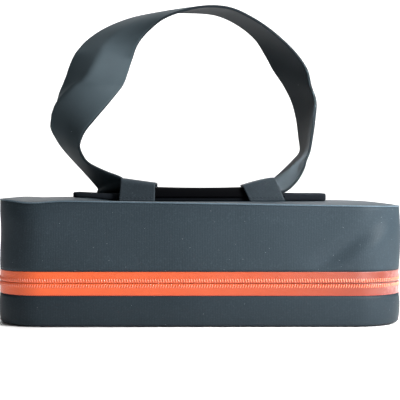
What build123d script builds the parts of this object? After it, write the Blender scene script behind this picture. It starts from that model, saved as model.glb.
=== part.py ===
"""Location sandbag: a low welded-fabric case with a three-sided coil zip, filled with inner sand packs.

Millimetres. +X runs along the bag, -Y is its front, +Z is up, and z = 0 is the floor it stands on.
The lower half is the base body, the half above the zip slit is the lid body, hinged on the fabric of the
rear wall. The webbing handle folds over the keepers that hold its roots. Two zip sliders meet on the
right end wall, each with a hanging pull.
"""

import os
from math import cos, radians, sin

from build123d import *

# ---- driving dimensions ----
LENGTH = 315.0  # along X
DEPTH = 160.0  # along Y
CORNER_R = 38.0  # plan corners
WALL = 2.0  # coated fabric with its seam allowance

RIM_Z = 94.0  # top of the side walls
ZIP_LOW_Z = 23.6  # lower border of the zip band
SLIT_Z = 33.2  # middle of the zip slit
ZIP_HIGH_Z = 42.0  # upper border of the zip band
SLIT = 1.0
TAPE_PROUD = 0.3  # the film stands this far off the wall
COIL = 2.0  # coil section
HINGE_HALF = 105.0  # half the length of the fabric hinge in the rear wall
CLEAR = 0.1  # between pieces of one body

PAD_LENGTH, PAD_WIDTH, PAD_Z0, PAD_H = 210.0, 44.0, 94.1, 6.6
STRAP_W, STRAP_T = 47.0, 2.4
RUN_X0, RUN_X1, RUN_H = -67.5, 70.0, 4.6

PACK_Y0, PACK_Y1, PACK_TOP = -64.0, 72.0, 82.0
PACK_X = 147.5
PACK_GAP = 2.0
PACK_CORNER = 32.0
LINER = 0.9

SLIDER_L, SLIDER_H, PLATE = 13.0, 11.0, 1.8
KEEPER_H, KEEPER_T, KEEPER_L = 10.6, 2.4, 29.0
KEEPER_X = {"left": -51.5, "right": 53.5}
BAR_R, EYE_R, RUN_FIT = 0.8, 2.1, 0.08
PULL_W, PULL_T, PULL_L = 9.0, 2.4, 22.0

os.makedirs("parts", exist_ok=True)


def save(shape, name):
    export_step(shape, f"parts/{name}.step")


def outline(grow=0.0):
    return RectangleRounded(LENGTH + 2 * grow, DEPTH + 2 * grow, CORNER_R + grow)


def ring(outer, inner, low, high):
    """A closed band of wall that follows the plan outline."""
    return Pos(0, 0, low) * extrude(outline(outer) - outline(inner), high - low)


def box(x0, x1, y0, y1, z0, z1):
    size = Box(x1 - x0, y1 - y0, z1 - z0)
    return Pos((x0 + x1) / 2, (y0 + y1) / 2, (z0 + z1) / 2) * size


def hinge_span(extra=0.0):
    """The part of the rear wall where the zip stops and the fabric itself bends."""
    half = HINGE_HALF + extra
    return box(-half, half, DEPTH / 2 - 12, DEPTH / 2 + 12, 0, RIM_Z + 20)


# ---- lower half: bottom, wall and the lower side of the zip ----
def make_base():
    wall = ring(0, -WALL, 0, ZIP_LOW_Z)
    foot = wall.faces().sort_by(Axis.Z)[0].outer_wire().edges()
    save(fillet(foot, WALL * 0.8), "lower_wall")

    inside = outline(-WALL - CLEAR)
    save(extrude(inside, WALL), "base_panel")
    board = Pos(0, 0, WALL + CLEAR) * extrude(outline(-WALL - 3), 2.5)
    save(board, "base_board")

    tape = ring(TAPE_PROUD, -1.0, ZIP_LOW_Z, SLIT_Z - SLIT / 2) - hinge_span()
    save(tape, "zip_tape_lower")
    coil_top = SLIT_Z - SLIT / 2
    coil = ring(-1.0 - CLEAR, -1.0 - CLEAR - COIL, coil_top - COIL, coil_top) - hinge_span()
    save(coil, "zip_coil_lower")
    hinge = ring(0, -WALL, ZIP_LOW_Z, SLIT_Z - CLEAR) & hinge_span(-CLEAR)
    save(hinge, "rear_hinge_lower")

    inner = DEPTH / 2 - WALL - CLEAR
    for side, name in ((-1, "left"), (1, "right")):
        centre = side * (HINGE_HALF - 4)
        stop = box(centre - 2, centre + 2, inner - 2.5, inner, SLIT_Z - 4.2, SLIT_Z - SLIT)
        save(stop, f"zip_stop_{name}")


# ---- three inner packs of sand, each in an open-topped liner with a closure strip ----
def pack_outline(shrink, x0, x1):
    """The plan of one pack: the cavity's rounded outline, cut between two dividers."""
    width, depth = 2 * PACK_X, PACK_Y1 - PACK_Y0
    plan = RectangleRounded(width - 2 * shrink, depth - 2 * shrink, PACK_CORNER - shrink)
    plan = Pos(0, (PACK_Y0 + PACK_Y1) / 2) * plan
    low = -PACK_X if x0 is None else x0 + shrink
    high = PACK_X if x1 is None else x1 - shrink
    return plan & (Pos((low + high) / 2, 0) * Rectangle(high - low, 2 * DEPTH))


def make_packs():
    floor = WALL + 2.5 + 4 * CLEAR
    third = 2 * PACK_X / 3
    cut_a, cut_b = -PACK_X + third, PACK_X - third
    gap = PACK_GAP / 2
    spans = {
        "left": (None, cut_a - gap),
        "middle": (cut_a + gap, cut_b - gap),
        "right": (cut_b + gap, None),
    }
    for name, (x0, x1) in spans.items():
        body = Pos(0, 0, floor) * extrude(pack_outline(0, x0, x1), PACK_TOP - floor)
        room = Pos(0, 0, floor + LINER) * extrude(pack_outline(LINER, x0, x1), PACK_TOP)
        save(body - room, f"pack_liner_{name}")
        fill_h = PACK_TOP - 6 - floor - LINER - CLEAR
        fill_plan = pack_outline(LINER + CLEAR, x0, x1)
        fill = Pos(0, 0, floor + LINER + CLEAR) * extrude(fill_plan, fill_h)
        save(fill, f"sand_fill_{name}")
        lid = Pos(0, 0, PACK_TOP - 5.5) * extrude(pack_outline(LINER + CLEAR, x0, x1), 3.0)
        middle = (PACK_Y0 + PACK_Y1) / 2
        strip = box(-LENGTH, LENGTH, middle - 12.5, middle + 12.5, 0, RIM_Z)
        save(lid & strip, f"pack_closure_{name}")


# ---- upper half: wall, top, upper side of the zip ----
def make_lid():
    save(ring(0, -WALL, ZIP_HIGH_Z, RIM_Z), "upper_wall")
    top = Pos(0, 0, RIM_Z - WALL) * extrude(outline(-WALL - CLEAR), WALL)
    save(top, "top_panel")
    backing_plan = RectangleRounded(PAD_LENGTH + 16, PAD_WIDTH + 24, 12)
    backing = Pos(0, 0, RIM_Z - WALL - CLEAR - 1.5) * extrude(backing_plan, 1.5)
    save(backing, "top_backing")
    save(ring(0.9, 0.02, RIM_Z - 2.4, RIM_Z - 0.4), "rim_weld")

    tape = ring(TAPE_PROUD, -1.0, SLIT_Z + SLIT / 2, ZIP_HIGH_Z) - hinge_span()
    save(tape, "zip_tape_upper")
    coil_low = SLIT_Z + SLIT / 2
    coil = ring(-1.0 - CLEAR, -1.0 - CLEAR - COIL, coil_low, coil_low + COIL) - hinge_span()
    save(coil, "zip_coil_upper")
    hinge = ring(0, -WALL, SLIT_Z + CLEAR, ZIP_HIGH_Z) & hinge_span(-CLEAR)
    save(hinge, "rear_hinge_upper")


# ---- what carries the load of the handle ----
def make_anchors():
    pad = Pos(0, 0, PAD_Z0) * extrude(RectangleRounded(PAD_LENGTH, PAD_WIDTH, 5), PAD_H)
    save(pad, "handle_pad")
    run_z = PAD_Z0 + PAD_H + CLEAR
    run = box(RUN_X0, RUN_X1, -STRAP_W / 2, STRAP_W / 2, run_z, run_z + RUN_H)
    save(run, "strap_run")
    half = STRAP_W / 2
    for name, middle in KEEPER_X.items():
        x0, x1 = middle - KEEPER_L / 2, middle + KEEPER_L / 2
        top = run_z + KEEPER_H
        outer = box(x0, x1, -half - KEEPER_T, half + KEEPER_T, run_z, top)
        hole = box(x0 - 1, x1 + 1, -half - 0.3, half + 0.3, 0, top - KEEPER_T)
        loop = outer - hole
        top_edges = loop.edges().filter_by(Axis.X).sort_by(Axis.Z)[-2:]
        save(fillet(top_edges, 1.5), f"keeper_{name}")


# ---- webbing handle: one strap, stations are (x, z, twist in degrees about the strap's own run) ----
STRAP = [
    (-69.5, 103.8, -4), (-79.5, 111.0, -15), (-90.5, 120.6, -12), (-102.6, 131.6, 0),
    (-108.4, 144.0, -27), (-108.0, 155.0, -41), (-101.5, 167.0, -54), (-94.0, 180.0, -68),
    (-87.6, 193.0, -84), (-82.5, 208.0, -78), (-75.0, 222.5, -62),
    (-61.0, 238.0, -40), (-42.0, 248.0, -18), (-16.0, 253.0, -4), (10.0, 252.5, 4),
    (34.0, 246.5, 12), (52.5, 235.5, 24), (64.8, 221.5, 32),
    (71.5, 211.0, 35), (78.6, 198.0, 33), (84.8, 182.0, 26), (88.4, 166.0, 16),
    (88.2, 150.0, 8), (85.4, 133.0, 0), (80.6, 122.0, 10), (76.4, 112.0, 13), (73.6, 103.8, 4),
]
FOLD_LEFT, GRIP_LEFT, GRIP_RIGHT, FOLD_RIGHT = 3, 10, 17, 23  # stations where the strap is divided
FOLD_GAP = 9.5  # each side of a division that folds, so that the loop's foot swings clear of the root
JOIN_GAP = 0.1  # each side of a division that doesn't


def section(i, shift):
    """The strap's cross-section at one station, moved along the run by shift."""
    x, z, twist = STRAP[i]
    before, after = STRAP[max(i - 1, 0)], STRAP[min(i + 1, len(STRAP) - 1)]
    along = Vector(after[0] - before[0], 0, after[1] - before[1]).normalized()
    side = Vector(0, 1, 0).cross(along)
    turn = radians(twist)
    across = Vector(0, 1, 0) * cos(turn) + side * sin(turn)
    place = Vector(x, 0, z) + along * shift
    return Plane(origin=place, x_dir=across, z_dir=along) * Rectangle(STRAP_W, STRAP_T)


def ribbon(first, last, gap_first, gap_last):
    """A flat-sided loft of the strap from one station to another, short of each by its gap."""
    sections = [section(i, 0) for i in range(first + 1, last)]
    return loft([section(first, gap_first), *sections, section(last, -gap_last)], ruled=True)


def make_handle():
    save(ribbon(0, FOLD_LEFT, 0, FOLD_GAP), "strap_root_left")
    save(ribbon(FOLD_LEFT, GRIP_LEFT, FOLD_GAP, JOIN_GAP), "handle_leg_left")
    save(ribbon(GRIP_LEFT, GRIP_RIGHT, JOIN_GAP, JOIN_GAP), "handle_grip")
    save(ribbon(GRIP_RIGHT, FOLD_RIGHT, JOIN_GAP, FOLD_GAP), "handle_leg_right")
    save(ribbon(FOLD_RIGHT, len(STRAP) - 1, FOLD_GAP, 0), "strap_root_right")


# ---- two-way zip: a pair of sliders on the straight part of the right end wall ----
def make_sliders():
    wall = LENGTH / 2 + TAPE_PROUD
    plate_x0 = wall + 0.4
    coil_in = LENGTH / 2 - 1.0 - CLEAR - COIL
    bar_x = plate_x0 + PLATE + 2.8
    for name, side in (("front", -1), ("rear", 1)):
        mid = side * (SLIDER_L / 2 + 0.5)
        y0, y1 = mid - SLIDER_L / 2, mid + SLIDER_L / 2
        z0, z1 = SLIT_Z - SLIDER_H / 2, SLIT_Z + SLIDER_H / 2
        outer = box(plate_x0, plate_x0 + PLATE, y0, y1, z0, z1)
        outer = fillet(outer.edges().filter_by(Axis.X), 2.5)
        inner = box(coil_in - 0.4 - PLATE, coil_in - 0.4, y0, y1, z0, z1)
        inner = fillet(inner.edges().filter_by(Axis.X), 2.5)
        post = box(coil_in - 0.5, plate_x0 + 0.1, mid - 1.5, mid + 1.5, SLIT_Z - 0.38, SLIT_Z + 0.38)
        save(outer + inner + post, f"slider_{name}")

        plate_out = plate_x0 + PLATE
        feet = [
            box(plate_out, bar_x, mid + s * 4.6 - 0.8, mid + s * 4.6 + 0.8, SLIT_Z - 0.8, SLIT_Z + 0.8)
            for s in (-1, 1)
        ]
        bar = Pos(bar_x, mid, SLIT_Z) * Rot(90, 0, 0) * Cylinder(BAR_R, 10.8)
        save(feet[0] + feet[1] + bar, f"slider_bridge_{name}")

        eye = Pos(bar_x, mid, SLIT_Z) * Rot(90, 0, 0) * Cylinder(EYE_R, 5.0)
        web = box(bar_x - PULL_T / 2, bar_x + PULL_T / 2, mid - 2.5, mid + 2.5, SLIT_Z - 5, SLIT_Z)
        tab = box(bar_x - PULL_T / 2, bar_x + PULL_T / 2, mid - PULL_W / 2, mid + PULL_W / 2,
                  SLIT_Z - 4 - PULL_L, SLIT_Z - 4)
        tab = fillet(tab.edges().filter_by(Axis.X), 2.0)
        bore = Pos(bar_x, mid, SLIT_Z) * Rot(90, 0, 0) * Cylinder(BAR_R + RUN_FIT, 6.0)
        save(eye + web + tab - bore, f"pull_{name}")


make_base()
make_packs()
make_lid()
make_anchors()
make_handle()
make_sliders()
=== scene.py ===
# %% [markdown]
# # A location sandbag, piece by piece
# The bag is a low case of welded, coated fabric. A coil zip with an orange water-resistant film runs
# round its front and ends, and a webbing loop is held down on top by two fabric keepers.
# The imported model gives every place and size, so this first cell loads it and reads them.

# %% Load the frame
import bpy, bmesh, math
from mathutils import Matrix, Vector, noise


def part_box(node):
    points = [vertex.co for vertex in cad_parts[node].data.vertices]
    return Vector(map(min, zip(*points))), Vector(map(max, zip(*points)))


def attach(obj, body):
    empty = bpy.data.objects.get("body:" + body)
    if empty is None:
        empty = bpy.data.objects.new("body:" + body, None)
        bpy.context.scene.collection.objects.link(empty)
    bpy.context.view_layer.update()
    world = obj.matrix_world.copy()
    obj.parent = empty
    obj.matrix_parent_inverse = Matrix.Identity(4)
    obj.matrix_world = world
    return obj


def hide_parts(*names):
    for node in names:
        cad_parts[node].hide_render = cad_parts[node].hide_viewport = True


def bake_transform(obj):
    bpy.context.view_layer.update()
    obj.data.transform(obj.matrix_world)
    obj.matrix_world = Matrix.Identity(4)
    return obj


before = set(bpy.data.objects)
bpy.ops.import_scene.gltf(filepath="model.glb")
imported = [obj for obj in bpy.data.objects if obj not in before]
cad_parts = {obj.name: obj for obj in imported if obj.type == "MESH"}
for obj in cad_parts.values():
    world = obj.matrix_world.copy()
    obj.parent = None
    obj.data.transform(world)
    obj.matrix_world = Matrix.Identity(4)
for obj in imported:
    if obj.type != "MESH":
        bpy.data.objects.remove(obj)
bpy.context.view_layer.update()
MM = 0.001

# %% [markdown]
# ## Sizes
# Sizes come from the frame's own boxes. The plan of the bag is a rounded rectangle, and every wall,
# weld and zip band follows it. The slit of the zip lies half way between its two tapes.

# %% Sizes read from the frame
wall_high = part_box("upper_wall")[1]
tape_low, tape_low_top = (corner.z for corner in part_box("zip_tape_lower"))
tape_high_foot, tape_high = (corner.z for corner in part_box("zip_tape_upper"))
HALF_X, HALF_Y, RIM_Z = wall_high
CORNER_R = 38 * MM
SLIT_Z = (tape_low_top + tape_high_foot) / 2
print("half length, half depth and rim height in mm:", [round(v / MM, 1) for v in wall_high])
print("slit height in mm:", round(SLIT_Z / MM, 1))

# %% [markdown]
# ## Helpers
# Most pieces are sheets: a grid of points joined by faces. Faces have to point outwards, and where rows
# meet at a pole their points are merged first, so one helper does both for every mesh.

# %% Grids
def new_object(name, mesh, *materials):
    piece = bpy.data.objects.new(name, mesh)
    bpy.context.scene.collection.objects.link(piece)
    for material in materials:
        mesh.materials.append(material)
    return piece


def turned_outward(mesh, merge=False):
    work = bmesh.new()
    work.from_mesh(mesh)
    if merge:
        bmesh.ops.remove_doubles(work, verts=work.verts, dist=0.02 * MM)
    bmesh.ops.recalc_face_normals(work, faces=work.faces)
    work.to_mesh(mesh)
    work.free()


def grid_piece(name, rows, closed, material, merge=True):
    """A surface through rows of points; closed joins the last row to the first."""
    mesh = bpy.data.meshes.new(name)
    across, count = len(rows[0]), len(rows)
    faces = []
    for i in range(count if closed else count - 1):
        j = (i + 1) % count
        for k in range(across - 1):
            faces.append((i * across + k, j * across + k, j * across + k + 1, i * across + k + 1))
    mesh.from_pydata([p for row in rows for p in row], [], faces)
    mesh.validate()
    if merge:
        turned_outward(mesh, merge=True)
    return new_object(name, mesh, material)


# %% [markdown]
# The zip film, the strap and its keepers are tubes instead: one closed section after another along a
# path, with a cap at each end. The strap's inner face is painted darker, as shade, so a span of the
# section can take a second material.

# %% Tubes
def tube(name, rows, materials, second=(0, 0)):
    """Closed section loops joined in a row and capped; faces in the span second take the second finish."""
    size = len(rows[0])
    faces, which = [], []
    for i in range(len(rows) - 1):
        for k in range(size):
            m = (k + 1) % size
            faces.append((i * size + k, (i + 1) * size + k, (i + 1) * size + m, i * size + m))
            which.append(1 if second[0] <= k < second[1] else 0)
    faces += [tuple(range(size)), tuple((len(rows) - 1) * size + k for k in reversed(range(size)))]
    which += [0, 0]
    mesh = bpy.data.meshes.new(name)
    mesh.from_pydata([tuple(p) for row in rows for p in row], [], faces)
    piece = new_object(name, mesh, *materials)
    for face, index in zip(mesh.polygons, which):
        face.material_index = index
        face.use_smooth = True
    turned_outward(mesh)
    return piece


# %% [markdown]
# A piece then gets its thickness from a modifier, which is applied so that the mesh itself is final, and
# is put on its body. The ribs of the fabric follow the distance round a piece, so that is stored on it.

# %% Modifiers and bodies
def modifier(piece, kind, **values):
    added = piece.modifiers.new(kind.lower(), kind)
    for key, value in values.items():
        setattr(added, key, value)
    return added


def baked(piece):
    """Replaces the piece's mesh by what its modifiers make of it, and drops the modifiers."""
    seen = piece.evaluated_get(bpy.context.evaluated_depsgraph_get())
    mesh = bpy.data.meshes.new_from_object(seen)
    piece.modifiers.clear()
    piece.data = mesh
    for face in mesh.polygons:
        face.use_smooth = True
    return piece


def measured(piece, rule):
    """Writes the distance round the piece into an attribute that the ribs of the fabric follow."""
    layer = piece.data.attributes.new("round", "FLOAT", "POINT")
    layer.data.foreach_set("value", [rule(*v.co) for v in piece.data.vertices])
    return piece


def placed(piece, body, slot, *nodes):
    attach(piece, body)
    if nodes:
        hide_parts(*nodes)
    piece.data.calc_loop_triangles()
    print(piece.name, len(piece.data.loop_triangles), "triangles on", body)
    return piece


# %% [markdown]
# ## Shared surface effects
# Shader nodes are wired up in code, so a few short helpers keep that readable: one makes a node group
# with named sockets, one makes a node and joins its inputs, and the others make the commonest nodes.

# %% Helpers for nodes
def group(name, inputs, output):
    tree = bpy.data.node_groups.new(name, "ShaderNodeTree")
    for label, default in inputs.items():
        socket = tree.interface.new_socket(label, in_out="INPUT", socket_type="NodeSocketFloat")
        socket.default_value = default
    for label in output:
        tree.interface.new_socket(label, in_out="OUTPUT", socket_type="NodeSocketFloat")
    return tree, tree.nodes.new("NodeGroupInput").outputs, tree.nodes.new("NodeGroupOutput").inputs


def node(tree, kind, links=None, **values):
    """A node with some settings, and the sockets named in links joined to others."""
    made = tree.nodes.new(kind)
    for key, value in values.items():
        setattr(made, key, value)
    for socket, source in (links or {}).items():
        if isinstance(source, (int, float, tuple)):
            made.inputs[socket].default_value = source
        else:
            tree.links.new(source, made.inputs[socket])
    return made


def maths(tree, operation, a, b=0.0, c=0.0, clamp=False):
    return node(tree, "ShaderNodeMath", {0: a, 1: b, 2: c}, operation=operation, use_clamp=clamp).outputs[0]


def product(tree, a, b):
    return maths(tree, "MULTIPLY", a, b)


def ranged(tree, value, low, high, to_low=0.0, to_high=1.0):
    """Maps low..high to to_low..to_high and holds it there outside."""
    return node(tree, "ShaderNodeMapRange", {"Value": value, "From Min": low, "From Max": high,
                                             "To Min": to_low, "To Max": to_high}).outputs[0]


def here(tree):
    return node(tree, "ShaderNodeTexCoord").outputs["Object"]


def axes_here(tree):
    return node(tree, "ShaderNodeSeparateXYZ", {0: here(tree)}).outputs


def speckle(tree, scale, detail=2.0):
    return node(tree, "ShaderNodeTexNoise", {"Vector": here(tree), "Scale": scale, "Detail": detail}).outputs["Fac"]


# %% [markdown]
# Three effects turn up in several finishes, so each is a node group that puts out plain values. The
# first is the weave that shows through the coating: upright ribs and finer cross threads.

# %% Group: ribs
def make_ribs():
    tree, given, result = group("fabric_ribs", {"Pitch": 1.2 * MM, "Cross": 0.7 * MM}, ["Height", "Shade"])
    along = node(tree, "ShaderNodeAttribute", attribute_name="round").outputs["Fac"]
    rib = maths(tree, "SINE", product(tree, maths(tree, "DIVIDE", along, given["Pitch"]), math.tau))
    rows = maths(tree, "DIVIDE", axes_here(tree)["Z"], given["Cross"])
    thread = maths(tree, "SINE", product(tree, rows, math.tau))
    height = maths(tree, "ADD", product(tree, rib, 0.8), product(tree, thread, 0.35))
    tree.links.new(product(tree, height, speckle(tree, 60.0, 3.0)), result["Height"])
    tree.links.new(maths(tree, "MULTIPLY_ADD", rib, 0.5, 0.5), result["Shade"])
    return tree


RIBS = make_ribs()
print("made", RIBS.name)

# %% [markdown]
# The second is lint: small round specks in a few of the cells of a Voronoi pattern. The third is slow
# light and dark variation, from handling and from the coating's uneven thickness.

# %% Groups: dust and clouds
def make_dust():
    tree, given, result = group("dust_specks", {"Scale": 420.0, "Amount": 0.5}, ["Mask"])
    cells = node(tree, "ShaderNodeTexVoronoi", {"Vector": here(tree), "Scale": given["Scale"]})
    near = maths(tree, "LESS_THAN", cells.outputs["Distance"], 0.13)
    cell_pick = node(tree, "ShaderNodeSeparateColor", {0: cells.outputs["Color"]}).outputs[0]
    chosen = maths(tree, "LESS_THAN", cell_pick, product(tree, given["Amount"], 0.03))
    tree.links.new(product(tree, near, chosen), result["Mask"])
    return tree


def make_clouds():
    tree, given, result = group("cloudy_wear", {"Scale": 14.0, "Contrast": 1.0}, ["Value"])
    drift = node(tree, "ShaderNodeTexNoise", {"Vector": here(tree), "Scale": given["Scale"], "Detail": 5.0,
                                              "Roughness": 0.6})
    value = product(tree, maths(tree, "SUBTRACT", drift.outputs["Fac"], 0.5), given["Contrast"])
    tree.links.new(maths(tree, "ADD", value, 0.5, clamp=True), result["Value"])
    return tree


DUST, CLOUDS = make_dust(), make_clouds()
print("groups:", [g.name for g in bpy.data.node_groups])

# %% [markdown]
# ## Finishes
# A finish starts from a Principled shader with its constants set on the shader's own sockets. Colour,
# roughness and relief vary over the surface and come in through the groups above.

# %% Helpers for finishes
def linear(red, green, blue):
    """A screen colour from 0 to 255 as the linear value that shaders use."""
    def one(c):
        c /= 255
        return c / 12.92 if c <= 0.04045 else ((c + 0.055) / 1.055) ** 2.4
    return (one(red), one(green), one(blue), 1.0)


def tinted(colour, share):
    return tuple(min(1.0, c * share) for c in colour[:3]) + (1.0,)


def finish(name, roughness, **constants):
    material = bpy.data.materials.new(name)
    material.use_nodes = True
    tree = material.node_tree
    shader = tree.nodes["Principled BSDF"]
    shader.inputs["Roughness"].default_value = roughness
    for key, value in constants.items():
        shader.inputs[key.replace("_", " ")].default_value = value
    return material, tree, shader


def use(tree, which, **values):
    return node(tree, "ShaderNodeGroup", values, node_tree=which).outputs


def mix_colour(tree, factor, a, b):
    return node(tree, "ShaderNodeMix", {0: factor, 6: a, 7: b}, data_type="RGBA").outputs[2]


def relief(tree, shader, height, strength, distance):
    bump = node(tree, "ShaderNodeBump", {"Height": height, "Strength": strength, "Distance": distance})
    tree.links.new(bump.outputs[0], shader.inputs["Normal"])


def surface(tree, shader, colour, clouds, roughness):
    """Joins the colour, and a roughness that wanders between two values with the clouds."""
    tree.links.new(colour, shader.inputs["Base Color"])
    tree.links.new(ranged(tree, clouds, 0.0, 1.0, *roughness), shader.inputs["Roughness"])


# %% [markdown]
# The case fabric is polyester coated with a matt film. The weave under the coating shows as fine upright
# ribs, a grain of paler points lies over them, and lint sticks to the coating as tiny specks. Below the
# zip the fabric is painted a little darker, as shade. The coating hardly mirrors its surroundings, so its specular is
# low.

# %% Coated fabric
def coated(name, dark, light, rib_pitch=1.25 * MM, roughness=(0.42, 0.6), dust=0.6, relief_depth=0.05 * MM):
    material, tree, shader = finish(name, 0.5, Specular_IOR_Level=0.07)
    ribs = use(tree, RIBS, Pitch=rib_pitch, Cross=0.75 * MM)
    clouds = use(tree, CLOUDS, Scale=11.0, Contrast=1.3)["Value"]
    specks = use(tree, DUST, Scale=700.0, Amount=dust)["Mask"]
    below_slit_painted_shade = maths(tree, "LESS_THAN", axes_here(tree)["Z"], SLIT_Z)
    base = mix_colour(tree, clouds, dark, light)
    base = mix_colour(tree, product(tree, ribs["Shade"], 0.2), base, tinted(light, 1.9))
    grain = ranged(tree, speckle(tree, 1100.0), 0.5, 0.8, 0.0, 0.35)
    base = mix_colour(tree, grain, base, tinted(light, 2.2))
    # Painted shade: below the slit every coated fabric is darkened.
    base = mix_colour(tree, product(tree, below_slit_painted_shade, 0.3), base, tinted(dark, 0.45))
    base = mix_colour(tree, product(tree, specks, 0.6), base, linear(150, 160, 166))
    surface(tree, shader, base, clouds, roughness)
    relief(tree, shader, ribs["Height"], 0.5, relief_depth)
    return material


SLATE = coated("slate_coated_fabric", linear(31, 39, 44), linear(41, 50, 56))
LINING = coated("case_lining", linear(34, 37, 40), linear(46, 49, 52), dust=0.0, roughness=(0.6, 0.75))
print("fabric finishes:", SLATE.name, LINING.name)

# %% [markdown]
# The zip film is a satin orange laminate. It takes the print of the herringbone tape under it, so it has
# fine slanting ridges that change their slant at the slit. Its edges are stitched in a darker thread. It is
# painted darker towards the right, as shade, and the right front corner has pale blotches of painted glare.

# %% Zip film
def zip_film():
    material, tree, shader = finish("orange_zip_film", 0.4, Sheen_Weight=0.1, Specular_IOR_Level=0.5, Coat_Weight=0.05)
    axes = axes_here(tree)
    above = maths(tree, "ABSOLUTE", maths(tree, "SUBTRACT", axes["Z"], SLIT_Z))
    slant = maths(tree, "ADD", maths(tree, "ADD", axes["X"], axes["Y"]), product(tree, above, 1.3))
    ridge = maths(tree, "SINE", product(tree, slant, math.tau / (1.55 * MM)))
    clouds = use(tree, CLOUDS, Scale=30.0, Contrast=1.2)["Value"]
    base = mix_colour(tree, clouds, linear(220, 76, 16), linear(228, 86, 22))
    base = mix_colour(tree, maths(tree, "MULTIPLY_ADD", ridge, 0.26, 0.26), base, linear(222, 112, 64))
    # Painted shade: the film darkens from left to right, against the close key light.
    base = mix_colour(tree, ranged(tree, axes["X"], -HALF_X, HALF_X), base, linear(92, 25, 8))
    edge = ranged(tree, above, 8.5 * MM, 9.2 * MM)
    stitch = product(tree, maths(tree, "GREATER_THAN", ridge, -0.3), 0.85)
    base = mix_colour(tree, product(tree, edge, stitch), base, linear(150, 34, 18))
    # Painted highlight: pale blotches at the right front corner stand for glare on the zip's end.
    painted_glare = product(tree, use(tree, CLOUDS, Scale=260.0, Contrast=3.0)["Value"], 0.6)
    corner = product(tree, ranged(tree, axes["X"], 0.88 * HALF_X, 0.995 * HALF_X),
                     ranged(tree, axes["Y"], -0.45 * HALF_Y, -0.65 * HALF_Y))
    base = mix_colour(tree, product(tree, corner, painted_glare), base, linear(190, 142, 138))
    surface(tree, shader, base, clouds, (0.33, 0.46))
    relief(tree, shader, ridge, 0.5, 0.09 * MM)
    return material


FILM = zip_film()
print("zip finish:", FILM.name)

# %% [markdown]
# The other finishes differ little from one another: clouds between two colours, a roughness that follows
# them, and for most a fine relief. So one function makes the smooth ones and one the grained ones.

# %% Smooth and grained finishes
def clouded(name, dark, light, cloud_scale, roughness, contrast=1.0, **constants):
    material, tree, shader = finish(name, roughness[0], **constants)
    clouds = use(tree, CLOUDS, Scale=cloud_scale, Contrast=contrast)["Value"]
    surface(tree, shader, mix_colour(tree, clouds, dark, light), clouds, roughness)
    return material, tree, shader


def grained(name, dark, light, cloud_scale=40.0, grain_scale=1400.0, roughness=(0.55, 0.7), strength=0.35,
            depth=0.05 * MM, **constants):
    material, tree, shader = clouded(name, dark, light, cloud_scale, roughness, **constants)
    relief(tree, shader, speckle(tree, grain_scale), strength, depth)
    return material


def coil_finish(name):
    return clouded(name, linear(214, 96, 62), linear(230, 130, 100), 45.0, (0.26, 0.4),
                   Specular_IOR_Level=0.6, Coat_Weight=0.3)[0]


COIL_PRINT, COIL = coil_finish("orange_coil_print"), coil_finish("orange_coil")
# The pad's near black is dark foam, painted darker still as the shade under the strap.
FOAM_AND_PAINTED_SHADE = grained("dark_pad_foam_and_painted_shade", linear(15, 18, 22), linear(26, 30, 35), 25.0, 900.0, (0.7, 0.85), 0.4, 0.08 * MM,
               Specular_IOR_Level=0.05)
print("made", COIL_PRINT.name, COIL.name, FOAM_AND_PAINTED_SHADE.name)

# %% [markdown]
# The strap is webbing in a matt coating. Its outer face is slate like the case, and its inner face is the
# same webbing painted darker, as shade. The same finish in near black is painted shadow on the folded
# strap between the keepers.

# %% Strap and thread
def webbing(name, dark, light):
    material, tree, shader = finish(name, 0.55, Specular_IOR_Level=0.03)
    clouds = use(tree, CLOUDS, Scale=22.0, Contrast=1.0)["Value"]
    ribs = use(tree, RIBS, Pitch=0.9 * MM, Cross=0.9 * MM)["Height"]
    specks = use(tree, DUST, Scale=380.0, Amount=0.3)["Mask"]
    base = mix_colour(tree, specks, mix_colour(tree, clouds, dark, light), linear(120, 126, 130))
    surface(tree, shader, base, clouds, (0.48, 0.62))
    relief(tree, shader, ribs, 0.3, 0.03 * MM)
    return material


STRAP_OUT = webbing("strap_outer_face", linear(51, 60, 65), linear(62, 72, 77))
# Painted shade: the inner face is the outer webbing made darker.
STRAP_IN_PAINTED_SHADE = webbing("strap_inner_face_painted_shade", linear(27, 33, 37), linear(36, 42, 46))
# Painted shadow: the same webbing in near black, for the strap in the shade between the keepers.
STRAP_SHADE = webbing("strap_shadow_face", linear(4, 4, 6), linear(7, 8, 10))
THREAD = webbing("slate_thread", linear(30, 35, 40), linear(58, 66, 72))
print("strap finishes:", STRAP_OUT.name, STRAP_IN_PAINTED_SHADE.name, STRAP_SHADE.name, THREAD.name)

# %% [markdown]
# ## The case
# The plan is written once, as a walk of stations round its edge, each with the direction that points out.
# The walk starts and ends in the middle of the rear wall, and has equal counts on opposite sides.

# %% A walk round a rounded rectangle
STEP = 3 * MM


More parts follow.
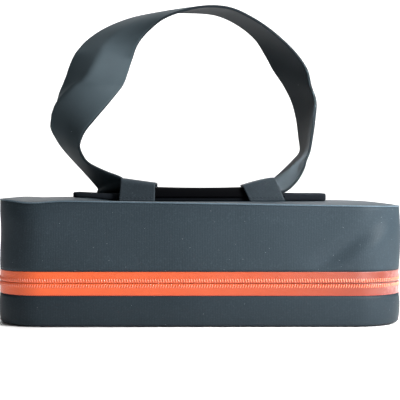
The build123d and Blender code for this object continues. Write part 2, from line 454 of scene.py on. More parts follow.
def rounded_walk(half_x, half_y, radius, step):
    flat_x, flat_y = half_x - radius, half_y - radius
    across, down = max(2, round(flat_x / step)), max(2, round(2 * flat_y / step))
    bend = max(5, round(radius * math.pi / 2 / step))
    stations = []

    def run(x0, y0, x1, y1, count, out):
        for i in range(count):
            t = i / count
            stations.append((x0 + (x1 - x0) * t, y0 + (y1 - y0) * t, *out))

    def corner(cx, cy, start):
        for i in range(bend):
            angle = math.radians(start + 90 * i / bend)
            out = (math.cos(angle), math.sin(angle))
            stations.append((cx + radius * out[0], cy + radius * out[1], *out))

    run(0, half_y, -flat_x, half_y, across, (0, 1))
    corner(-flat_x, flat_y, 90)
    run(-half_x, flat_y, -half_x, -flat_y, down, (-1, 0))
    corner(-flat_x, -flat_y, 180)
    run(-flat_x, -half_y, 0, -half_y, across, (0, -1))
    run(0, -half_y, flat_x, -half_y, across, (0, -1))
    corner(flat_x, -flat_y, 270)
    run(half_x, -flat_y, half_x, flat_y, down, (1, 0))
    corner(flat_x, flat_y, 0)
    run(flat_x, half_y, 0, half_y, across, (0, 1))
    return stations


CASE = rounded_walk(HALF_X, HALF_Y, CORNER_R, STEP)
print(len(CASE), "stations round the case")

# %% [markdown]
# Fabric is never quite flat. A bell curve gives one soft bump or dent, and smooth noise gives slow waves.
# The panels are filled by moving the stations in until they meet on the middle line.

# %% Soft shapes and distances
def bell(value, width):
    return math.exp(-(value / width) ** 2)


def ripple(x, y, z, size, seed):
    return noise.noise(Vector((x, y, z)) / size + Vector((seed, 0, 0)))


def inset_point(station, half_x, half_y, inset):
    """A plan point moved in from the edge; at inset half_y every point has met the middle line."""
    x, y = station[:2]
    middle = half_x - half_y
    target = min(max(x, -middle), middle)
    share = inset / half_y
    return x + (target - x) * share, y * (1 - share)


def case_distance(x, y, z):
    """Distance round the case from the middle of the front or rear wall; plain x on the two panels."""
    flat_x, flat_y = HALF_X - CORNER_R, HALF_Y - CORNER_R
    deep_x, deep_y = abs(x) - flat_x, abs(y) - flat_y
    inside = min(HALF_X - abs(x), HALF_Y - abs(y))
    if deep_x <= 0 or (inside > 5 * MM and (z < 1.8 * MM or z > RIM_Z - 1 * MM)):
        return x
    if deep_y <= 0:
        return math.copysign(flat_x + CORNER_R * math.pi / 2 - deep_y, x)
    return math.copysign(flat_x + CORNER_R * math.atan2(deep_x, deep_y), x)


print("from the middle of a wall to the middle of an end:", round(case_distance(HALF_X, 0, SLIT_Z) / MM), "mm")

# %% [markdown]
# The lower wall and the bottom are one welded tub of fabric. A box with bevelled edges would do for the
# outline, but its faces would be dead flat. Here a profile is carried round the plan instead: down the
# wall with a slight belly, round a soft foot, and in under the bag to the middle, where rows meet.

# %% Lower shell
FABRIC = 1.1 * MM
FOOT_Z, FOOT_ROLL = 3.4 * MM, 0.9 * MM
UNDER = [(2.6, 0.55), (5, 0.15), (9, 0), (20, 0), (40, 0), (60, 0), (80, 0)]  # inset and height in mm


def shell(name, rows):
    """A sheet of fabric with its lining inside."""
    piece = grid_piece(name, rows, True, SLATE)
    piece.data.materials.append(LINING)
    modifier(piece, "SOLIDIFY", thickness=FABRIC, offset=-1, material_offset=1)
    return measured(baked(piece), case_distance)


def lower_row(station, wall_steps=9):
    x, y, ox, oy = station
    row = []
    for k in range(wall_steps):
        t = k / (wall_steps - 1)
        z = tape_low - (tape_low - FOOT_Z) * t
        belly = 0.7 * MM * math.sin(math.pi * t) + 0.25 * MM * ripple(x, y, z, 45 * MM, 3)
        belly *= min(1.0, 4 * t)
        row.append((x + ox * belly, y + oy * belly, z))
    for share, z in ((0.3, 2.0), (1.0, 1.1)):
        row.append((x - ox * FOOT_ROLL * share, y - oy * FOOT_ROLL * share, z * MM))
    for inset, z in UNDER:
        row.append((*inset_point(station, HALF_X, HALF_Y, inset * MM), z * MM))
    return row


placed(shell("lower_shell", [lower_row(s) for s in CASE]), "base", "coated_fabric", "lower_wall", "base_panel")

# %% [markdown]
# The wall above the zip and the top panel are one shell, welded at the rim. Its rim isn't quite level, a
# long dent runs up towards the right front corner, and the left end is a little swollen, above and in
# front. A cloth simulation could wrinkle it, but would also pull it off the zip, and sculpting can't be
# repeated, so these shapes are pressed into the grid by small functions of place.

# %% Shapes pressed into the upper shell
DENT_FOOT, DENT_WAY = Vector((80 * MM, 36 * MM)), Vector((54, 42)).normalized()
DENT_LENGTH = 86 * MM


def rim_lift(x):
    """How far the rim stands above its nominal height at one place along the bag."""
    return 0.5 * MM - 0.017 * x - 1.9 * MM * bell(x + 128 * MM, 15 * MM)


def wall_press(x, y, z):
    """Outward movement of the front wall: a slanting dent, the ridge beside it and a swelling."""
    if y > -0.02:
        return 0.0
    rel = Vector((x, z)) - DENT_FOOT
    along, aside = rel.dot(DENT_WAY), rel.x * DENT_WAY.y - rel.y * DENT_WAY.x
    share = max(0.0, min(1.0, along / (14 * MM))) * max(0.0, min(1.0, (DENT_LENGTH - along) / (30 * MM)))
    dent = (-2.8 * bell(aside + 1 * MM, 6.5 * MM) + 2.6 * bell(aside - 11 * MM, 8 * MM)) * MM * share
    return dent + 2.2 * MM * bell(x + 122 * MM, 20 * MM) * bell(z - 80 * MM, 14 * MM)


def panel_height(x, y, inset):
    """The top panel swells from its rim to a low crown; inset is the distance in from the rim in mm."""
    near_rim = max(0.0, 1 - inset / 40) ** 2
    share = min(1.0, max(0.0, (-62 * MM - x) / (33 * MM)))
    crown = (0.3 + 2.9 * share * share * (3 - 2 * share)) * MM * (1 - near_rim)
    return RIM_Z + crown + (rim_lift(x) + 0.4 * MM * ripple(x, y, 0, 50 * MM, 5)) * near_rim


print("crown at the left and in the middle:", [round((panel_height(x, 0, 60) - RIM_Z) / MM, 1) for x in (-0.12, 0)])

# %% [markdown]
# With those the upper shell is a row at each station, like the lower one: up the wall, over the rim and
# in across the panel. The pressing fades out beside the zip and the rim, where stiff seams hold the cloth.

# %% Upper shell
RIM_CURVE = [(0.35, -0.75), (1.1, -0.2), (2.4, 0.0)]  # inset and height against the rim, in mm
PANEL_INSETS = (5, 9, 14, 20, 27, 35, 44, 53, 62, 71, 80)


def upper_row(station, wall_steps=20):
    x, y, ox, oy = station
    lift = rim_lift(x)
    row = []
    for k in range(wall_steps):
        t = k / (wall_steps - 1)
        z = tape_high + (RIM_Z - 1.6 * MM - tape_high) * t
        free = min(1.0, 5 * t) * min(1.0, 6 * (1 - t))
        out = 1.0 * MM * math.sin(math.pi * t) + wall_press(x, y, z) * free
        out += 0.7 * MM * ripple(x, y, z, 50 * MM, 9) * free
        out -= 1.6 * MM * bell(x + HALF_X, 30 * MM) * bell(z - 70 * MM, 16 * MM)
        row.append((x + ox * out, y + oy * out, z + lift * t ** 2))
    for inset, z in RIM_CURVE:
        row.append((*inset_point(station, HALF_X, HALF_Y, inset * MM), RIM_Z + lift + z * MM))
    for inset in PANEL_INSETS:
        px, py = inset_point(station, HALF_X, HALF_Y, inset * MM)
        row.append((px, py, panel_height(px, py, inset)))
    return row


placed(shell("upper_shell", [upper_row(s) for s in CASE]), "lid", "coated_fabric", "upper_wall", "top_panel")

# %% [markdown]
# ## Beads and teeth by Geometry Nodes
# Beads and rows of teeth or stitches follow a path, so Geometry Nodes make them. Each tree takes a mesh
# of edges, turns it into a curve, and ends in real geometry with its finish set. The first tree sweeps a
# round section along the curve.

# %% Geometry Nodes: a bead along a path
def geometry_tree(name, inputs):
    tree = bpy.data.node_groups.new(name, "GeometryNodeTree")
    tree.interface.new_socket("Geometry", in_out="INPUT", socket_type="NodeSocketGeometry")
    for label, (kind, default) in {**inputs, "Material": ("Material", None)}.items():
        tree.interface.new_socket(label, in_out="INPUT", socket_type=f"NodeSocket{kind}").default_value = default
    tree.interface.new_socket("Geometry", in_out="OUTPUT", socket_type="NodeSocketGeometry")
    given = tree.nodes.new("NodeGroupInput").outputs
    return tree, given, node(tree, "GeometryNodeMeshToCurve", {"Mesh": given["Geometry"]}).outputs[0]


def ended(tree, given, geometry):
    real = node(tree, "GeometryNodeRealizeInstances", {"Geometry": geometry})
    smooth = node(tree, "GeometryNodeSetShadeSmooth", {"Geometry": real.outputs[0]})
    done = node(tree, "GeometryNodeSetMaterial", {"Geometry": smooth.outputs[0], "Material": given["Material"]})
    tree.links.new(done.outputs[0], tree.nodes.new("NodeGroupOutput").inputs[0])
    return tree


def make_bead_tree():
    tree, given, curve = geometry_tree("bead_on_path", {"Radius": ("Float", 0.5 * MM)})
    ring = node(tree, "GeometryNodeCurvePrimitiveCircle", {"Resolution": 8, "Radius": given["Radius"]})
    bead = node(tree, "GeometryNodeCurveToMesh", {"Curve": curve, "Profile Curve": ring.outputs[0],
                                                  "Fill Caps": True})
    return ended(tree, given, bead.outputs[0])


BEAD = make_bead_tree()
print("made", BEAD.name)

# %% [markdown]
# The second tree sets a small rounded tooth at every pitch. It turns each tooth to follow the path, then
# leans it by the slant.

# %% Geometry Nodes: a row of teeth along a path
def make_row_tree():
    tree, given, curve = geometry_tree("row_on_path", {
        "Pitch": ("Float", 2 * MM), "Size": ("Vector", (1.0, 1.0, 1.0)), "Slant": ("Float", 0.0)})
    points = node(tree, "GeometryNodeCurveToPoints", {"Curve": curve, "Length": given["Pitch"]}, mode="LENGTH")
    tooth = node(tree, "GeometryNodeMeshUVSphere", {"Segments": 8, "Rings": 5, "Radius": 0.5})
    tilt = node(tree, "ShaderNodeCombineXYZ", {"X": given["Slant"]})
    lean = node(tree, "FunctionNodeEulerToRotation", {0: tilt.outputs[0]})
    aim = node(tree, "FunctionNodeAlignRotationToVector", {"Vector": points.outputs["Tangent"]},
               axis="Y", pivot_axis="Z")
    turn = node(tree, "FunctionNodeRotateRotation", {"Rotation": aim.outputs[0], "Rotate By": lean.outputs[0]},
                rotation_space="LOCAL")
    teeth = node(tree, "GeometryNodeInstanceOnPoints", {
        "Points": points.outputs[0], "Instance": tooth.outputs[0], "Rotation": turn.outputs[0],
        "Scale": given["Size"]})
    return ended(tree, given, teeth.outputs[0])


ROW = make_row_tree()
print("made", ROW.name)

# %% [markdown]
# A tree is run by a modifier on a mesh of plain edges. The modifier's inputs are set by the sockets'
# identifiers before the first evaluation, and the result is copied out as a plain mesh.

# %% Running a tree along paths
def along_path(name, paths, tree, material, closed=False, **values):
    mesh = bpy.data.meshes.new(name)
    points, edges = [], []
    for path in paths:
        first = len(points)
        points += path
        edges += [(first + i, first + i + 1) for i in range(len(path) - 1)]
        if closed:
            edges.append((first + len(path) - 1, first))
    mesh.from_pydata(points, edges, [])
    piece = new_object(name, mesh, material)
    live = modifier(piece, "NODES", node_group=tree)
    wanted = {"Material": material, **values}
    for item in tree.interface.items_tree:
        if item.in_out == "INPUT" and item.name in wanted:
            live[item.identifier] = wanted[item.name]
    seen = piece.evaluated_get(bpy.context.evaluated_depsgraph_get())
    made = bpy.data.meshes.new_from_object(seen)
    piece.modifiers.clear()
    piece.data = made
    return piece


def beside_case(way, out, z):
    """Points beside a way: out is the distance outwards, and z is a height or a function of x."""
    return [(x + ox * out, y + oy * out, z(x) if callable(z) else z) for x, y, ox, oy in way]


print("the tree inputs are", [item.name for item in ROW.interface.items_tree if item.in_out == "INPUT"])

# %% [markdown]
# The weld that joins wall and top panel stands up as a thin bead. It is painted a little paler than the
# fabric, as a highlight along the rim. A bevel on the shell's rim couldn't have its own finish, so the bead is a
# piece of its own. It rises and falls with the rim.

# %% Rim weld
# Painted highlight: the bead's paler colour stands for the light line along the rim.
RIM_PAINTED_HIGHLIGHT = coated("welded_rim_painted_highlight", linear(58, 70, 79), linear(74, 88, 97), roughness=(0.3, 0.42), dust=1.5)
rim_path = beside_case(CASE, 0.1 * MM, lambda x: RIM_Z - 0.7 * MM + rim_lift(x))
placed(along_path("rim_weld_bead", [rim_path], BEAD, RIM_PAINTED_HIGHLIGHT, closed=True, Radius=0.55 * MM),
       "lid", "coated_fabric", "rim_weld")

# %% [markdown]
# ## The zip
# Each half of the zip is a strip of film with a swelling over its coil and a lip that rolls in at the
# slit. A closed section is carried along the path that runs from one rear corner, round the front, to
# the other.

# %% Zip path and film
HINGE_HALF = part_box("rear_hinge_lower")[1].x
FILM_SECTION = [(-0.16, 9.45), (-0.10, 9.2), (-0.04, 8.7), (-0.02, 8.0), (-0.02, 6.4), (0.0, 4.8), (0.05, 3.9),
                (0.12, 3.1), (0.15, 2.4), (0.13, 1.7), (0.08, 1.1), (0.04, 0.7), (0.0, 0.42), (-0.1, 0.26),
                (-0.3, 0.16), (-1.0, 0.13), (-1.0, 1.0), (-1.0, 5.0), (-1.0, 9.45)]  # out and up, in mm
EDGE_GAP = 0.12 * MM


def zip_path():
    """Case stations from one zip end to the other by way of the front."""
    kept = [s for s in CASE if not (s[1] > HALF_Y - 0.1 * MM and abs(s[0]) < HINGE_HALF)]
    start = next(i for i, s in enumerate(kept) if s[0] < 0 and s[1] > 0 and s[3] > 0.99)
    ends = [(-HINGE_HALF, HALF_Y, 0, 1), (HINGE_HALF, HALF_Y, 0, 1)]
    return [ends[0], *kept[start:], *kept[:start], ends[1]]


def film(name, sign, limit):
    """One strip of film; the section's heights are measured from the slit, and stop at the wall's edge."""
    section = []
    for out, rise in FILM_SECTION:
        z = SLIT_Z + sign * rise * MM
        section.append((out * MM, max(z, limit) if sign < 0 else min(z, limit)))
    rows = [[(x + ox * out, y + oy * out, z) for out, z in section] for x, y, ox, oy in ZIP_WAY]
    strip = tube(name, rows, [FILM])
    for cap in strip.data.polygons[-2:]:
        cap.use_smooth = False
    return strip


ZIP_WAY = zip_path()
placed(film("zip_film_lower", -1, tape_low + EDGE_GAP), "base", "zip_film", "zip_tape_lower")
placed(film("zip_film_upper", 1, tape_high - EDGE_GAP), "lid", "zip_film", "zip_tape_upper")

# %% [markdown]
# The coil's teeth print through the film as a row of small slanting ridges on each side of the slit.
# Behind the film is the coil itself, a monofilament wound into loops. It shows only when the lid is up,
# so the same tree makes it with rounder teeth.

# %% Printed teeth and inner coil
COIL_PITCH = 1.95 * MM
TEETH = {  # out and up from the slit in mm, size in mm, lean in degrees, finish
    "coil_print": (0.1, 2.15, (0.95, 0.95, 3.0), 16, COIL_PRINT),
    "coil": (-2.1, 1.45, (2.0, 1.5, 1.9), -12, COIL),
}
for name, (out, up, size, lean, material) in TEETH.items():
    for half, sign, body in (("lower", -1, "base"), ("upper", 1, "lid")):
        path = beside_case(ZIP_WAY, out * MM, SLIT_Z + sign * up * MM)
        teeth = along_path(f"{name}_{half}", [path], ROW, material, Pitch=COIL_PITCH,
                           Size=tuple(side * MM for side in size), Slant=math.radians(lean * sign))
        placed(teeth, body, "zip_coil", *([f"zip_coil_{half}"] if name == "coil" else []))

# %% [markdown]
# ## The fabric hinge in the rear wall
# The zip stops short of the rear wall, and a welded strip of the same fabric joins the two shells there.

# %% Rear hinge strip
HINGE_LAP = 3 * MM


def hinge_column(x, steps=24):
    low, high = tape_low - HINGE_LAP, tape_high + HINGE_LAP
    column = []
    for k in range(steps + 1):
        bulge = 0.45 * MM + 0.25 * MM * math.sin(math.pi * k / steps) + 0.15 * MM * ripple(x, 0, k * MM, 20 * MM, 2)
        column.append((x, HALF_Y + bulge, low + (high - low) * k / steps))
    return column


hinge_reach = HINGE_HALF + 4 * MM
hinge = grid_piece("rear_hinge_strip", [hinge_column(hinge_reach * (1 - 2 * i / 70)) for i in range(71)], False, SLATE,
                   merge=False)
hinge.data.materials.append(LINING)
modifier(hinge, "SOLIDIFY", thickness=0.9 * MM, offset=0, material_offset=1)
measured(baked(hinge), case_distance)
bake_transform(hinge)
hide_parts("rear_hinge_lower", "rear_hinge_upper")
print(hinge.name, round(2 * hinge_reach / MM), "mm long, blended from base to lid")

# %% [markdown]
# ## The pad under the strap
# A slab of dark foam spreads the strap's load; its near-black colour is partly painted shade, for the
# shadow under the strap. Its two ends show beside the strap roots. It is a closed plan solid with soft
# edges that lies on the crown of the panel, and its left end curls up a little.

# %% Pad
pad_low, pad_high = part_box("handle_pad")
SOFT_EDGE = [(1.0, 0.0), (0.5, 0.0), (0.1, 0.0), (0.035, 0.02), (0.008, 0.15), (0.0, 0.35), (0.0, 0.65), (0.008, 0.86),
             (0.035, 0.98), (0.1, 1.0), (0.3, 1.0), (0.5, 1.0), (0.75, 1.0), (1.0, 1.0)]


def plan_solid(name, low, high, radius, profile, material, step, shape=None):
    """A closed solid over a rounded rectangle; profile is (inset, height from 0 to 1) from below to above."""
    half_x, half_y = (high.x - low.x) / 2, (high.y - low.y) / 2
    cx, cy = (high.x + low.x) / 2, (high.y + low.y) / 2
    rows = []
    for station in rounded_walk(half_x, half_y, radius, step):
        row = []
        for inset, rise in profile:
            px, py = inset_point(station, half_x, half_y, inset * half_y)
            point = (px + cx, py + cy, low.z + (high.z - low.z) * rise)
            row.append(shape(point, rise) if shape else point)
        rows.append(row)
    return grid_piece(name, rows, True, material)


def pad_shape(point, rise):
    x, y = point[:2]
    floor = panel_height(x, y, 60) + 0.1 * MM
    curl = 1.2 * MM * max(0.0, (-x / pad_high.x - 0.75) * 4) ** 2
    top = pad_high.z + 0.1 * MM + curl
    return (x * 0.982, y, floor + (top - floor) * rise + 0.2 * MM * rise * ripple(x, y, 0, 25 * MM, 4))


pad = plan_solid("handle_foam_pad", pad_low, pad_high, 5 * MM, SOFT_EDGE, FOAM_AND_PAINTED_SHADE, 4 * MM, pad_shape)
placed(baked(pad), "lid", "pad_rubber", "handle_pad")

# %% [markdown]
# ## The strap
# The strap is one length of webbing, stretched between its rear edge and its front edge. Listed
# stations give where each edge is in the plane of the loop; the strap's width then says how far apart the
# edges are in depth. The left leg also has a soft lengthwise crease. A curve with a flat bevel would twist
# on its own between its points, while two edges set the twist exactly.

# %% Strap stations
run_low, run_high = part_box("strap_run")
STRAP_W = run_high.y - run_low.y
# rear edge x and z, front edge x and z, in mm; crease place from 0 to 1 across the width; crease height in mm
STRAP = [
    (-50, 104, -50, 106, 0.1, 0), (-84, 99, -59, 110, 0.1, 0), (-86, 104.5, -65, 114, 0.1, 0),
    (-94, 114, -78, 119, 0.1, 0), (-105, 126, -91, 126, 0.1, 0), (-114, 136, -97, 136, 0.1, 0),
    (-121, 146, -97, 143, 0.05, 0), (-124, 156, -93, 152, 0.09, 5), (-121, 171, -85, 162, 0.17, 10),
    (-117, 184, -74, 176, 0.32, 14), (-111, 196, -64, 190, 0.4, 16), (-108, 205, -60, 200, 0.46, 16),
    (-103, 216, -56, 212, 0.48, 12), (-94, 228, -51, 223, 0.5, 5), (-79, 239, -42, 233, 0.5, 2),
    (-58, 248, -29, 243, 0.5, 0), (-34, 253, -12, 249, 0.5, 0), (-8, 254, 7, 252, 0.5, 0),
    (14, 252, 26, 250, 0.5, 0), (32, 244, 45, 241, 0.5, 0), (47, 232, 62, 229, 0.5, 0),
    (56, 218, 77, 215, 0.5, 0), (63, 205, 87, 201, 0.5, 0), (72, 192, 90, 188, 0.5, 0),
    (79, 178, 94, 175, 0.5, 0), (83, 163, 93, 160, 0.5, 0), (85, 148, 91, 146, 0.5, 0),
    (86, 136, 89, 135, 0.5, 0), (80, 128, 86, 127, 0.5, 0), (72, 120, 84, 120, 0.5, 0),
    (64, 113, 78, 110, 0.5, 0), (57, 108, 68, 102, 0.5, 0), (50, 106, 54, 102, 0.5, 0),
]
print(len(STRAP), "stations, strap width", round(STRAP_W / MM, 1), "mm")

# %% [markdown]
# A Catmull-Rom curve passes through every station without a kink. At each place along it, points are laid
# across the strap, lifted by the crease and by a slight bow. Two edges closer than three millimetres in
# depth would pinch the strap, so that is the least depth.

# %% A line across the strap
SECTION_STEPS = 24
LEAST_DEPTH = 3.0


def smooth_through(values, t):
    i = min(int(t), len(values) - 2)
    f = t - i
    a, b = values[max(i - 1, 0)], values[i]
    c, d = values[i + 1], values[min(i + 2, len(values) - 1)]
    return [0.5 * (2 * q + (r - p) * f + (2 * p - 5 * q + 4 * r - s) * f * f
                   + (3 * q - p - 3 * r + s) * f ** 3) for p, q, r, s in zip(a, b, c, d)]


def strap_line(t):
    """Points across the strap at station t, from its rear edge to its front edge."""
    rear_x, rear_z, front_x, front_z, crease_at, crease = smooth_through(STRAP, t)
    seen = math.hypot(rear_x - front_x, rear_z - front_z)
    depth = math.sqrt(max((STRAP_W / MM) ** 2 - seen ** 2, LEAST_DEPTH ** 2))
    rear, front = Vector((rear_x, depth / 2, rear_z)), Vector((front_x, -depth / 2, front_z))
    across = (rear - front).normalized()
    before, after = (smooth_through(STRAP, min(max(t + d, 0.0), len(STRAP) - 1.0)) for d in (-0.05, 0.05))
    along = Vector((after[0] + after[2] - before[0] - before[2], 0, after[1] + after[3] - before[1] - before[3]))
    out = along.cross(across).normalized()
    line = []
    for k in range(SECTION_STEPS + 1):
        u = k / SECTION_STEPS
        side = (u - crease_at) / (crease_at if u < crease_at else 1 - crease_at)
        ridge = math.sqrt(side * side + 0.004) if crease > 0 else 1.0
        lift = max(0.0, crease) * max(0.0, 1 - ridge) + 0.8 * math.sin(math.pi * u)
        line.append((rear + (front - rear) * u + out * lift) * MM)
    return line


print("first line across the strap starts at", [round(v / MM) for v in strap_line(0)[0]], "mm")

# %% [markdown]
# Each line is thickened both ways along the surface's own normals into a closed section, with a blunt
# point at each edge.

# %% Strap loop
STRAP_T = 2.0 * MM
LINES_PER_STATION = 5


def strap_sections():
    last = len(STRAP) - 1
    count = last * LINES_PER_STATION + 1
    lines = [strap_line(last * i / (count - 1)) for i in range(count)]
    sections = []
    for i, line in enumerate(lines):
        before, after = lines[max(i - 1, 0)], lines[min(i + 1, count - 1)]
        outer, inner = [], []
        for k, p in enumerate(line):
            across = line[max(k - 1, 0)] - line[min(k + 1, SECTION_STEPS)]
            normal = (after[k] - before[k]).cross(across).normalized()
            outer.append(p + normal * STRAP_T / 2)
            inner.append(p - normal * STRAP_T / 2)
        first_edge = line[0] + (line[0] - line[1]).normalized() * STRAP_T * 0.35
        last_edge = line[-1] + (line[-1] - line[-2]).normalized() * STRAP_T * 0.35
        sections.append([*outer, last_edge, *reversed(inner), first_edge])
    return sections


sections = strap_sections()
# The front edge and the inner face take the inner finish, which is painted darker as shade.
strap = tube("strap_loop", sections, [STRAP_OUT, STRAP_IN_PAINTED_SHADE], (SECTION_STEPS, 2 * SECTION_STEPS + 2))
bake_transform(strap)
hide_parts("strap_root_left", "strap_root_right", "handle_leg_left", "handle_leg_right", "handle_grip")
middle_line = [sum((Vector(p) for p in section), Vector()) / len(section) for section in sections]
print("strap loop", round(sum((b - a).length for a, b in zip(middle_line, middle_line[1:])) / MM), "mm long")

# %% [markdown]
# Between the keepers the strap lies doubled on the pad. It is one soft slab, highest beside the keepers
# and thinned where it runs under them, with its front face down to the pad.

# %% Strap run
RUN_REACH, RUN_TAPER = 48 * MM, 9 * MM


def run_section(x):
    share = (x - (run_low.x + run_high.x) / 2) / ((run_high.x - run_low.x) / 2)
    top = RIM_Z + 11.2 * MM + 2.0 * MM * share ** 2
    top -= 8.0 * MM * max(0.0, min(1.0, (abs(x) - RUN_REACH) / RUN_TAPER))
    bottom = RIM_Z + 3.4 * MM
    half, soft = STRAP_W / 2 + 0.3 * MM, 1.6 * MM
    front = [(half - 0.2 * MM, bottom), (half, bottom + 1.2 * MM), (half, (top + bottom) / 2), (half, top - soft),
             (half - 0.3 * soft, top - 0.3 * soft), (half - soft, top), (half * 0.6, top), (half * 0.3, top)]
    return [(x, y, z) for y, z in front] + [(x, -y, z) for y, z in reversed(front)]


run_rows = [run_section(run_low.x + 3 * MM + (run_high.x - run_low.x - 4 * MM) * i / 40) for i in range(41)]
# Its near-black finish is painted shadow, for the shade under the handle's arch.
placed(tube("strap_middle", run_rows, [STRAP_SHADE]), "lid", "strap_fabric", "strap_run")

# %% [markdown]
# ## The keepers
# Each keeper is a fabric loop sewn down in front of and behind the strap. A straight extrusion would stand
# square, but the strap inside lifts the outer end of each loop and pulls it over. So the loop leans: its
# roof has its own x and z at either end, and the sides run straight from the foot to the roof.

# %% Keepers
KEEPER_T, KEEPER_STEPS = 1.5 * MM, 24
KEEPER_CLOTH = coated("keeper_fabric", linear(34, 41, 46), linear(43, 50, 55), rib_pitch=1.0 * MM, dust=0.3)


def keeper_outline(half, foot, top, shrink):
    """One loop with rounded shoulders in the plane across the strap: up the rear, over and down the front."""
    corner, side, roof = 3.2 * MM - shrink, half - shrink, top - shrink
    rise = [(side + 0.5 * MM * (1 - k / 7), foot + (roof - corner - foot) * k / 7) for k in range(8)]
    bend = [(side - corner * (1 - math.cos(a)), roof - corner * (1 - math.sin(a)))
            for a in (math.pi / 2 * k / 6 for k in range(1, 7))]
    half_line = rise + bend + [((side - corner) * (1 - k / 6), roof) for k in range(1, 6)]
    return half_line + [(0.0, roof)] + [(-y, z) for y, z in reversed(half_line)]


def keeper(name, cad, feet, roof_start, roof_end):
    """A loop over the strap; feet are two x, and each roof end is an x and a z, all in mm."""
    half, base_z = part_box(cad)[1].y + 1.0 * MM, RIM_Z - 0.3 * MM
    rising = roof_end[1] > roof_start[1]
    rows = []
    for i in range(KEEPER_STEPS + 1):
        t = i / KEEPER_STEPS
        bow = 1 - (1 - t) ** 1.3 if rising else t
        foot_x = (feet[0] + (feet[1] - feet[0]) * t) * MM
        top_x = (roof_start[0] + (roof_end[0] - roof_start[0]) * t) * MM
        top_z = (roof_start[1] + (roof_end[1] - roof_start[1]) * bow) * MM
        loops = []
        for shrink in (0.0, KEEPER_T):
            loop = []
            for y, z in keeper_outline(half, base_z, top_z, shrink):
                share = (z - base_z) / (top_z - base_z)
                waist = 1 - 0.35 * MM / half * math.sin(math.pi * min(1, share))
                loop.append((foot_x + (top_x - foot_x) * share, y * waist, z))
            loops.append(loop)
        rows.append([*loops[0], *reversed(loops[1])])
    return placed(tube(name, rows, [KEEPER_CLOTH]), "lid", "coated_fabric", cad)


keeper("keeper_loop_left", "keeper_left", (-65.2, -36.2), (-63.4, 113.2), (-35.8, 109.4))
keeper("keeper_loop_right", "keeper_right", (41.0, 69.6), (34.4, 107.4), (60.6, 113.8))

# %% [markdown]
# Rows of small stitches hold the keepers' feet to the top panel. They could be drawn in the finish, but
# real ones stand up and catch the light. A stitch is the same small rounded tooth as before, laid along
# its row with a longer pitch.

# %% Stitches
def stitch_rows(inset=2 * MM, clear=1.35 * MM):
    paths = []
    for cad in ("keeper_left", "keeper_right"):
        low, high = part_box(cad)
        for sign in (-1, 1):
            y = sign * (high.y + clear)
            paths += [[(low.x + inset, y, RIM_Z + up * MM), (high.x - inset, y, RIM_Z + up * MM)] for up in (1.6, 3.4)]
    return paths


placed(along_path("keeper_stitches", stitch_rows(), ROW, THREAD, Pitch=3.0 * MM, Size=(0.5 * MM, 2.1 * MM, 0.55 * MM)),
       "lid", "coated_fabric")

# %% [markdown]
# ## Sliders, pulls and hidden parts
# These keep their CAD shape, which is already exact: cast, moulded and cut parts have crisp faces, and
# most of them are hidden. Each gets a finish: black enamel on the die-cast sliders, moulded orange
# rubber on the pulls, grey board in the base, and plain woven cloth behind the top panel.

# %% Finishes for CAD pieces
ENAMEL = clouded("black_enamel", linear(22, 23, 25), linear(48, 50, 53), 160.0, (0.28, 0.48), contrast=1.4,
                 Metallic=0.35, Coat_Weight=0.4)[0]
PULL = grained("pull_rubber", linear(226, 84, 42), linear(240, 104, 60))
BOARD = grained("base_board_grey", linear(52, 54, 56), linear(66, 68, 70), grain_scale=500.0)
BACKING = coated("top_backing_cloth", linear(30, 32, 35), linear(40, 43, 46), dust=0.0)
CAD_FINISHES = {
    ENAMEL: ["slider_front", "slider_rear", "slider_bridge_front", "slider_bridge_rear", "zip_stop_left",
             "zip_stop_right"],
    PULL: ["pull_front", "pull_rear"], BOARD: ["base_board"], BACKING: ["top_backing"],
}
for material, pieces in CAD_FINISHES.items():
    for cad in pieces:
        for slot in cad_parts[cad].material_slots:
            slot.material = material
    print(material.name, "on", ", ".join(pieces))

# %% [markdown]
# ## The sand packs
# Each pack is a sewn cloth pouch full of sand. A plan solid a little smaller than the pack is remeshed and
# blown up by the Cloth solver with a light pressure, which rounds its faces and puckers its corners. The
# movement is then capped, so the pouch stays in the space that the frame gives it.

# %% Blowing up a pouch
CLOTH_SETTINGS = {"quality": 4, "mass": 0.3, "use_pressure": True, "uniform_pressure_force": 3.0,
                  "tension_stiffness": 20, "compression_stiffness": 20, "bending_stiffness": 1.5}
CLOTH_FRAMES, CLOTH_CAP = 16, 5 * MM


def blown_up(piece):
    """Cloth pressure on the piece, applied, with no point allowed to move further than the cap."""
    modifier(piece, "REMESH", mode="VOXEL", voxel_size=5 * MM)
    baked(piece)
    start = [v.co.copy() for v in piece.data.vertices]
    cloth = modifier(piece, "CLOTH")
    for key, value in CLOTH_SETTINGS.items():
        setattr(cloth.settings, key, value)
    cloth.settings.effector_weights.gravity = 0
    cloth.point_cache.frame_start, cloth.point_cache.frame_end = 1, CLOTH_FRAMES
    for step in range(1, CLOTH_FRAMES + 1):
        bpy.context.scene.frame_set(step)
    baked(piece)
    bpy.context.scene.frame_set(1)
    for vertex, rest in zip(piece.data.vertices, start):
        moved = vertex.co - rest
        if moved.length > CLOTH_CAP:
            vertex.co = rest + moved.normalized() * CLOTH_CAP
    modifier(piece, "SUBSURF", levels=1, render_levels=1)
    return baked(piece)


print("cloth frames:", CLOTH_FRAMES)

# %% [markdown]
# The three pouches stand side by side in the case. Each is held a little inside its liner's box, so that
# neighbours don't touch.

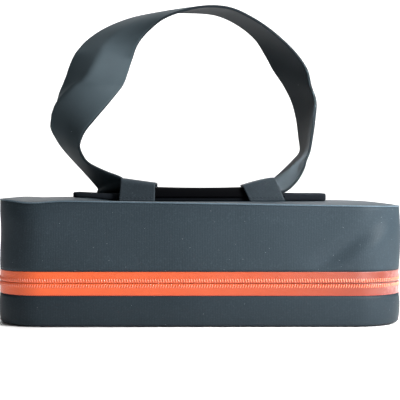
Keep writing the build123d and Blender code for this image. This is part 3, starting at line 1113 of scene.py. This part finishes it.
# %% Packs
PACK_CLOTH = coated("pack_pouch_cloth", linear(66, 68, 70), linear(84, 86, 88), rib_pitch=0.9 * MM, dust=0.0,
                    roughness=(0.75, 0.9), relief_depth=0.08 * MM)
PACK_PROFILE = [(1.0, 0.0), (0.6, 0.0), (0.2, 0.0), (0.08, 0.03), (0.02, 0.1), (0.0, 0.3), (0.0, 0.6),
                (0.02, 0.85), (0.1, 0.96), (0.25, 1.0), (0.6, 1.0), (1.0, 1.0)]
PACK_SHRINK, PACK_MARGIN = Vector((3.4, 4, 3.4)) * MM, 0.2 * MM
pouches = {}
for side in ("left", "middle", "right"):
    low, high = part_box(f"pack_liner_{side}")
    pouch = blown_up(plan_solid(f"sand_pack_{side}", low + PACK_SHRINK, high - PACK_SHRINK, 14 * MM, PACK_PROFILE,
                                PACK_CLOTH, 6 * MM))
    for vertex in pouch.data.vertices:
        for axis in range(3):
            vertex.co[axis] = min(max(vertex.co[axis], low[axis] + PACK_MARGIN), high[axis] - PACK_MARGIN)
    placed(pouch, "base", "liner_fabric", f"pack_liner_{side}", f"sand_fill_{side}")
    pouches[side] = pouch

# %% [markdown]
# Each pouch closes with a strip of hook and loop tape across its top. The strip is a thin grid dropped
# onto the pouch from above, so that it follows every wrinkle.

# %% Closure strips
TAPE = grained("hook_tape", linear(20, 21, 23), linear(34, 35, 37), grain_scale=1900.0, roughness=(0.85, 0.95))


def dropped(pouch, x, y, fallback):
    hit, place, _, _ = pouch.ray_cast(Vector((x, y, RIM_Z)), Vector((0, 0, -1)))
    return place.z if hit else fallback


for side, pouch in pouches.items():
    low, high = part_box(f"pack_closure_{side}")
    rows = []
    for i in range(31):
        x = low.x + 6 * MM + (high.x - low.x - 12 * MM) * i / 30
        rows.append([(x, y, dropped(pouch, x, y, high.z) + 0.7 * MM)
                     for y in (low.y + (high.y - low.y) * k / 8 for k in range(9))])
    strip = grid_piece(f"closure_strip_{side}", rows, False, TAPE, merge=False)
    modifier(strip, "SOLIDIFY", thickness=1.2 * MM, offset=0)
    placed(baked(strip), "base", "liner_fabric", f"pack_closure_{side}")

# %% [markdown]
# ## Floor, light and camera
# The bag stands on a pale sheet that curves up behind it, as on a product table, so that there is no
# line between floor and wall.

# %% Floor
def floor_piece():
    reach, wall = 3.0, 2.2
    profile = [(-reach, 0), (0.9, 0), (1.25, 0.03), (1.5, 0.14), (1.66, 0.36), (1.72, wall)]
    rows = [[(x, y, z - 0.0003) for y, z in profile] for x in (-reach, -1, 0, 1, reach)]
    material, tree, shader = finish("pale_floor", 0.7)
    clouds = use(tree, CLOUDS, Scale=3.0, Contrast=0.2)["Value"]
    paint = mix_colour(tree, clouds, linear(244, 244, 244), linear(250, 250, 250))
    tree.links.new(paint, shader.inputs["Base Color"])
    piece = grid_piece("pale_floor", rows, False, material, merge=False)
    for face in piece.data.polygons:
        face.use_smooth = True
    return piece


floor_piece()
print("floor laid")

# %% [markdown]
# A small key light close to the right end makes the brightness fall off to the left. A weak fill stands
# to the left, a narrow lamp picks out the right strap root, and a soft light above gives the rim its
# line. A broad one lights the backdrop white. The room's own light is low, or the dark cloth would
# turn grey.

# %% Lights
LAMPS = {  # place, aim and size in m, power in W, spread in degrees
    "key_right": ((0.40, -0.32, 0.32), (0.14, 0, 0.06), (0.2, 0.3), 8.6, 180),
    "fill_left": ((-0.9, -0.9, 0.6), (0, 0, SLIT_Z), (0.8, 0.8), 0.7, 180),
    "root_accent": ((0.13, -0.25, 0.8), (0.087, 0, 0.118), (0.04, 0.04), 0.12, 6),
    "top_soft": ((0.0, 0.12, 1.1), (0, 0, SLIT_Z), (0.5, 0.5), 8.5, 180),
    "backdrop": ((0, 0.9, 1.3), (0, 1.6, 0.4), (1.6, 0.8), 26, 180),
}
for name, (place, aim, size, power, spread) in LAMPS.items():
    lamp = bpy.data.lights.new(name, "AREA")
    lamp.shape, lamp.size, lamp.size_y = "RECTANGLE", *size
    lamp.energy, lamp.spread = power, math.radians(spread)
    stand = bpy.data.objects.new(name, lamp)
    bpy.context.scene.collection.objects.link(stand)
    stand.location = place
    stand.rotation_euler = (Vector(aim) - Vector(place)).to_track_quat("-Z", "Y").to_euler()
world = bpy.data.worlds.new("white_room")
bpy.context.scene.world = world
world.use_nodes = True
background = world.node_tree.nodes["Background"]
background.inputs["Color"].default_value = (1, 1, 1, 1)
background.inputs["Strength"].default_value = 0.14
print("lamps:", ", ".join(LAMPS))

# %% [markdown]
# The camera stands low in front of the bag with a long lens, so that the top panel is only a sliver and
# the ends hardly taper.

# %% Camera
DISTANCE, EYE_Z = 0.8, 0.1115
FOCAL_SHARE = 2.645  # focal length over the picture's width
lens = bpy.data.cameras.new("camera")
lens.sensor_width = 36
lens.lens = lens.sensor_width * FOCAL_SHARE
camera = bpy.data.objects.new("camera", lens)
bpy.context.scene.collection.objects.link(camera)
camera.location = (0.0004, -HALF_Y - DISTANCE, EYE_Z)
camera.rotation_euler = (math.radians(90 - 1.08), 0, 0)
bpy.context.scene.camera = camera
bpy.context.scene.view_settings.view_transform = "Standard"
print("focal length", round(lens.lens, 1), "mm")

# %% The end
bpy.context.view_layer.update()
